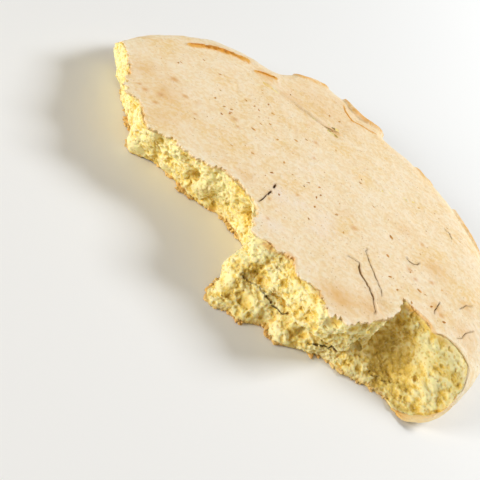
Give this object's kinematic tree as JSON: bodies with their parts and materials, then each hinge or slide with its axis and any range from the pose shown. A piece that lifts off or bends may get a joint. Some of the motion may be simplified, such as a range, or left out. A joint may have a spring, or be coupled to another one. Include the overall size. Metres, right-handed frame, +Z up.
{
  "type": "torn half of a pogacha bread",
  "caption": "Half of a round flat wheat loaf torn across by hand, with a domed floury crust, a rounded rim that burst into a lobe, and a ragged crumb face along the tear.",
  "frame": {"origin": "on the plane the bread lies on, under the middle of the half's own box", "axes": "+X along the torn edge, +Y from the torn face towards the baked rim, +Z up through the thickness"},
  "size_m": [0.2744, 0.2154, 0.032],
  "materials": {
    "crust": "pale baked wheat crust, dusted with flour, matte, with small toasted spots",
    "crumb": "torn open wheat crumb, matte, soft and uneven with small round holes",
    "base_crust": "golden brown underside crust, matte and slightly floury"
  },
  "bodies": {
    "root": {"pogacha_half": "crust"}
  },
  "joints": []
}
